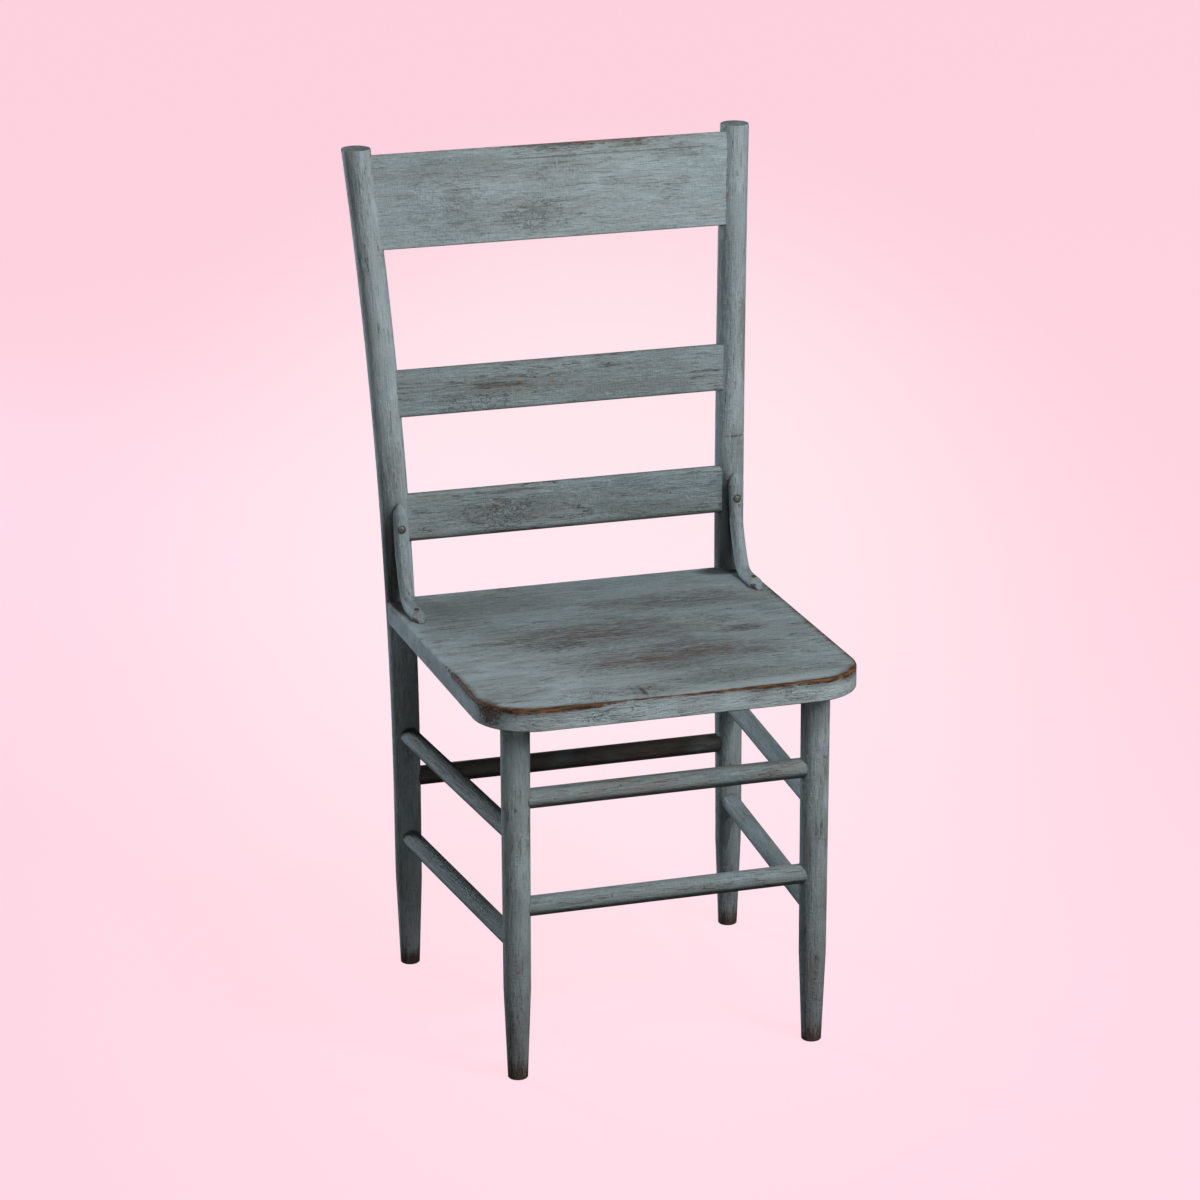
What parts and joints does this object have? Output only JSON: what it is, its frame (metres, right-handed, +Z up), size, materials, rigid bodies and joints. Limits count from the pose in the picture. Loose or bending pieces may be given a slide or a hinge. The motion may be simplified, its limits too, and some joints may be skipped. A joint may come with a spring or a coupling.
{
  "type": "painted wooden side chair",
  "caption": "Farmhouse side chair with a plank seat, bent round back posts, flat back boards, round stretchers and bent hip braces, painted blue-grey and worn.",
  "frame": {"origin": "on the floor, under the middle of the chair's outline", "axes": "+Z up, the chair faces -Y, X across the chair with its plane of symmetry at X = 0"},
  "size_m": [0.4612, 0.4813, 0.914],
  "materials": {
    "worn_paint": "matt blue-grey paint, worn to brown wood on the edges",
    "screw": "dull, dirty"
  },
  "bodies": {
    "root": {"seat": "worn_paint", "left_back_post": "worn_paint", "right_back_post": "worn_paint", "left_front_leg": "worn_paint", "right_front_leg": "worn_paint", "crest_rail": "worn_paint", "middle_slat": "worn_paint", "lower_slat": "worn_paint", "front_upper_stretcher": "worn_paint", "front_lower_stretcher": "worn_paint", "left_upper_stretcher": "worn_paint", "left_lower_stretcher": "worn_paint", "right_upper_stretcher": "worn_paint", "right_lower_stretcher": "worn_paint", "rear_stretcher": "worn_paint", "left_hip_brace": "worn_paint", "right_hip_brace": "worn_paint", "brace_post_screws": "screw", "brace_seat_screws": "screw", "post_seat_screws": "screw"}
  },
  "joints": []
}
